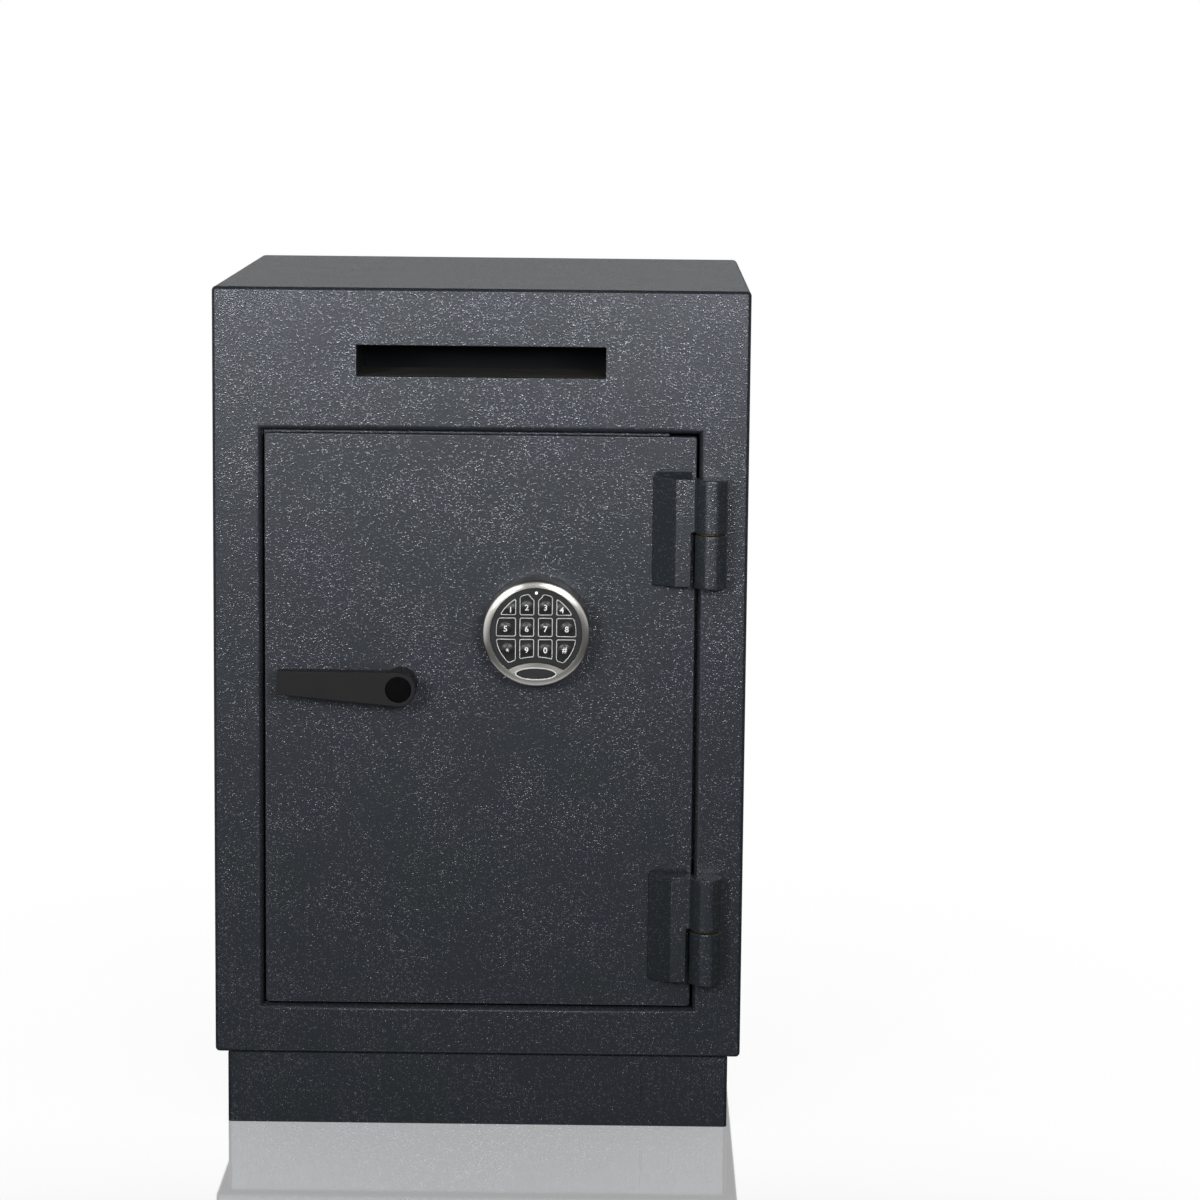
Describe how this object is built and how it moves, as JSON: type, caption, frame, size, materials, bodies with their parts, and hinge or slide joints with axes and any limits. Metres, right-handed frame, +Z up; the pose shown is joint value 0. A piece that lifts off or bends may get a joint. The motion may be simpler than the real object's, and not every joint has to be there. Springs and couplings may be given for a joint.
{
  "type": "drop safe",
  "caption": "Floor-standing steel drop safe with a letter slot, an anti-fishing chute, a keypad, a lever handle, external barrel hinges and working boltwork.",
  "frame": {"origin": "centre of the plinth's underside, where the safe stands on the floor", "axes": "+Z up, -Y out of the door's front, +X to the viewer's right when facing the door"},
  "size_m": [0.432, 0.449, 0.69],
  "materials": {
    "textured_paint": "charcoal textured powder coat, semi-gloss",
    "black_paint": "smooth gloss black",
    "handle_coat": "matte black powder coat",
    "black_plastic": "fine satin",
    "satin_chrome": "satin nickel-chrome with a bright rim",
    "key_film": "black membrane over clicking domes",
    "zinc_steel": "bright zinc plating",
    "bright_steel": "ground and polished",
    "brass": "turned brass",
    "led_lens": "milky white lens",
    "circuit_board": "green solder mask"
  },
  "bodies": {
    "cabinet": {"cabinet_wrap": "textured_paint", "back_plate": "textured_paint", "front_frame": "textured_paint", "door_stop": "textured_paint", "plinth": "textured_paint", "plinth_bolt_1": "zinc_steel", "plinth_bolt_2": "zinc_steel", "plinth_bolt_3": "zinc_steel", "plinth_bolt_4": "zinc_steel", "deposit_chute": "black_paint", "chute_hood": "black_paint", "anti_fishing_comb": "zinc_steel", "upper_frame_knuckle": "textured_paint", "lower_frame_knuckle": "textured_paint", "upper_hinge_pin": "bright_steel", "lower_hinge_pin": "bright_steel", "upper_thrust_washer": "brass", "lower_thrust_washer": "brass"},
    "door": {"door_plate": "textured_paint", "upper_hinge_leaf": "textured_paint", "lower_hinge_leaf": "textured_paint", "boltwork_case": "zinc_steel", "boltwork_cover": "textured_paint", "cover_screw_1": "zinc_steel", "cover_screw_2": "zinc_steel", "cover_screw_3": "zinc_steel", "cover_screw_4": "zinc_steel", "hinge_side_dead_bar": "zinc_steel", "handle_bush": "brass", "lock_case": "black_paint", "keypad_mount": "black_plastic", "keypad_housing": "satin_chrome", "keypad_face": "black_plastic", "status_led": "led_lens", "keypad_battery": "black_plastic", "keypad_circuit_board": "circuit_board"},
    "handle": {"lever_handle": "handle_coat", "handle_cap": "black_plastic", "spindle": "bright_steel", "cam_disc": "zinc_steel", "cam_retainer": "bright_steel"},
    "bolt_carriage": {"bolt_carriage": "zinc_steel", "cam_follower": "bright_steel", "lower_locking_bolt": "bright_steel", "middle_locking_bolt": "bright_steel", "upper_locking_bolt": "bright_steel"},
    "lock_bolt": {"lock_bolt": "brass"},
    "key_1": {"key_1": "key_film"},
    "key_2": {"key_2": "key_film"},
    "key_3": {"key_3": "key_film"},
    "key_4": {"key_4": "key_film"},
    "key_5": {"key_5": "key_film"},
    "key_6": {"key_6": "key_film"},
    "key_7": {"key_7": "key_film"},
    "key_8": {"key_8": "key_film"},
    "key_star": {"key_star": "key_film"},
    "key_9": {"key_9": "key_film"},
    "key_0": {"key_0": "key_film"},
    "key_hash": {"key_hash": "key_film"}
  },
  "joints": [
    {"name": "door_hinge", "type": "hinge", "parent": "cabinet", "child": "door", "pos_m": [0.186, -0.2215, 0.338], "axis": [0, 0, 1], "range_deg": [0, 175]},
    {"name": "handle_turn", "type": "hinge", "parent": "door", "child": "handle", "pos_m": [-0.064, -0.208, 0.3698], "axis": [0, -1, 0], "range_deg": [0, 90]},
    {"name": "bolt_slide", "type": "slide", "parent": "door", "child": "bolt_carriage", "axis": [-1, 0, 0], "range_m": [0, 0.0251]},
    {"name": "lock_bolt_slide", "type": "slide", "parent": "door", "child": "lock_bolt", "axis": [-1, 0, 0], "range_m": [0, 0.01]},
    {"name": "key_1_press", "type": "slide", "parent": "door", "child": "key_1", "axis": [0, 1, 0], "range_m": [0, 0.0008], "stiffness_N_per_m": 800},
    {"name": "key_2_press", "type": "slide", "parent": "door", "child": "key_2", "axis": [0, 1, 0], "range_m": [0, 0.0008], "stiffness_N_per_m": 800},
    {"name": "key_3_press", "type": "slide", "parent": "door", "child": "key_3", "axis": [0, 1, 0], "range_m": [0, 0.0008], "stiffness_N_per_m": 800},
    {"name": "key_4_press", "type": "slide", "parent": "door", "child": "key_4", "axis": [0, 1, 0], "range_m": [0, 0.0008], "stiffness_N_per_m": 800},
    {"name": "key_5_press", "type": "slide", "parent": "door", "child": "key_5", "axis": [0, 1, 0], "range_m": [0, 0.0008], "stiffness_N_per_m": 800},
    {"name": "key_6_press", "type": "slide", "parent": "door", "child": "key_6", "axis": [0, 1, 0], "range_m": [0, 0.0008], "stiffness_N_per_m": 800},
    {"name": "key_7_press", "type": "slide", "parent": "door", "child": "key_7", "axis": [0, 1, 0], "range_m": [0, 0.0008], "stiffness_N_per_m": 800},
    {"name": "key_8_press", "type": "slide", "parent": "door", "child": "key_8", "axis": [0, 1, 0], "range_m": [0, 0.0008], "stiffness_N_per_m": 800},
    {"name": "key_star_press", "type": "slide", "parent": "door", "child": "key_star", "axis": [0, 1, 0], "range_m": [0, 0.0008], "stiffness_N_per_m": 800},
    {"name": "key_9_press", "type": "slide", "parent": "door", "child": "key_9", "axis": [0, 1, 0], "range_m": [0, 0.0008], "stiffness_N_per_m": 800},
    {"name": "key_0_press", "type": "slide", "parent": "door", "child": "key_0", "axis": [0, 1, 0], "range_m": [0, 0.0008], "stiffness_N_per_m": 800},
    {"name": "key_hash_press", "type": "slide", "parent": "door", "child": "key_hash", "axis": [0, 1, 0], "range_m": [0, 0.0008], "stiffness_N_per_m": 800}
  ],
  "couplings": [
    {"joint": "bolt_slide", "follows": "handle_turn", "m_per_rad": 0.015915}
  ]
}
